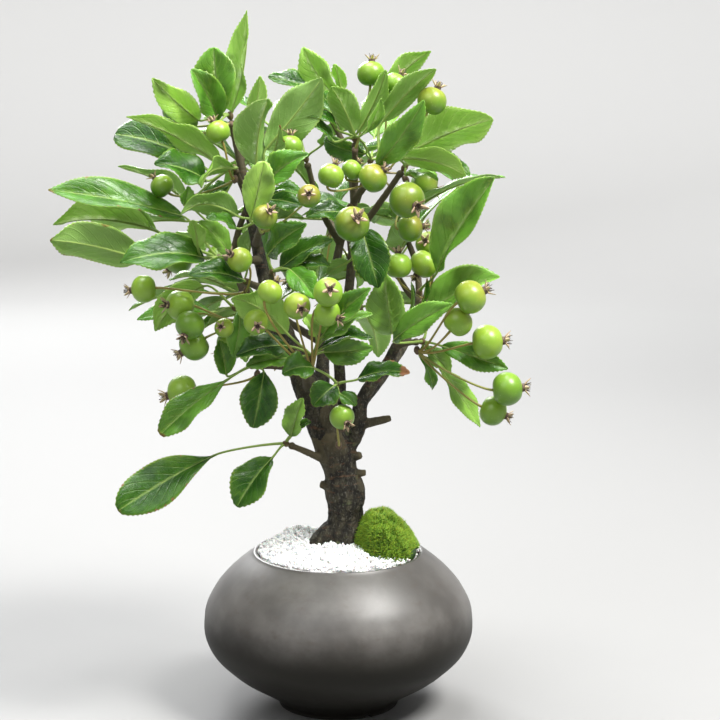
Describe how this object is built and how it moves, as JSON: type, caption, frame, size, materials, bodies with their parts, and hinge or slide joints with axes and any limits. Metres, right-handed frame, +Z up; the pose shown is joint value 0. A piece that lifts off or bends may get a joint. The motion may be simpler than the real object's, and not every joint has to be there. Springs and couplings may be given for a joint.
{
  "type": "crabapple bonsai",
  "caption": "Fruiting crabapple bonsai with a forked trunk, glossy toothed leaves and stalked green fruit, in a round dark clay pot topped with white gravel and moss.",
  "frame": {"origin": "middle of the flat underside of the pot's foot, on the surface that the pot stands on", "axes": "+Z up along the pot's axis; the tree's front faces -Y; +X to the right seen from the front"},
  "size_m": [0.2272, 0.1898, 0.3497],
  "materials": {
    "clay": "satin",
    "net": "matte",
    "soil": "matte",
    "gravel": "matte",
    "moss": "matte",
    "bark": "matte",
    "leaf": "satin",
    "fruit": "satin"
  },
  "bodies": {
    "root": {"drain_net": "net", "fruits_back_left": "fruit", "fruits_back_low_left": "fruit", "fruits_back_middle": "fruit", "fruits_back_top_right": "fruit", "fruits_crown_left": "fruit", "fruits_crown_middle": "fruit", "fruits_crown_middle_left": "fruit", "fruits_crown_right": "fruit", "fruits_left_front": "fruit", "fruits_left_low": "fruit", "fruits_left_twig": "fruit", "fruits_middle_front": "fruit", "fruits_middle_low": "fruit", "fruits_middle_right": "fruit", "fruits_right_low": "fruit", "fruits_right_upper": "fruit", "fruits_shoulder_left": "fruit", "fruits_shoulder_right": "fruit", "fruits_trunk_front": "fruit", "gravel": "gravel", "leaves_back_crown": "leaf", "leaves_back_left": "leaf", "leaves_back_left_high": "leaf", "leaves_back_low_left": "leaf", "leaves_back_low_right": "leaf", "leaves_back_middle": "leaf", "leaves_back_right": "leaf", "leaves_back_right_high": "leaf", "leaves_back_top_left": "leaf", "leaves_back_top_right": "leaf", "leaves_crown_back_left": "leaf", "leaves_crown_left": "leaf", "leaves_crown_middle": "leaf", "leaves_crown_middle_left": "leaf", "leaves_crown_right": "leaf", "leaves_left_front": "leaf", "leaves_left_low": "leaf", "leaves_left_middle": "leaf", "leaves_left_twig": "leaf", "leaves_low_left": "leaf", "leaves_middle_front": "leaf", "leaves_middle_left": "leaf", "leaves_middle_low": "leaf", "leaves_middle_right": "leaf", "leaves_middle_twig": "leaf", "leaves_right_low": "leaf", "leaves_right_middle": "leaf", "leaves_right_upper": "leaf", "leaves_shoulder_left": "leaf", "leaves_shoulder_right": "leaf", "leaves_side_left": "leaf", "moss": "moss", "pot": "clay", "soil": "soil", "wood": "bark"}
  },
  "joints": []
}
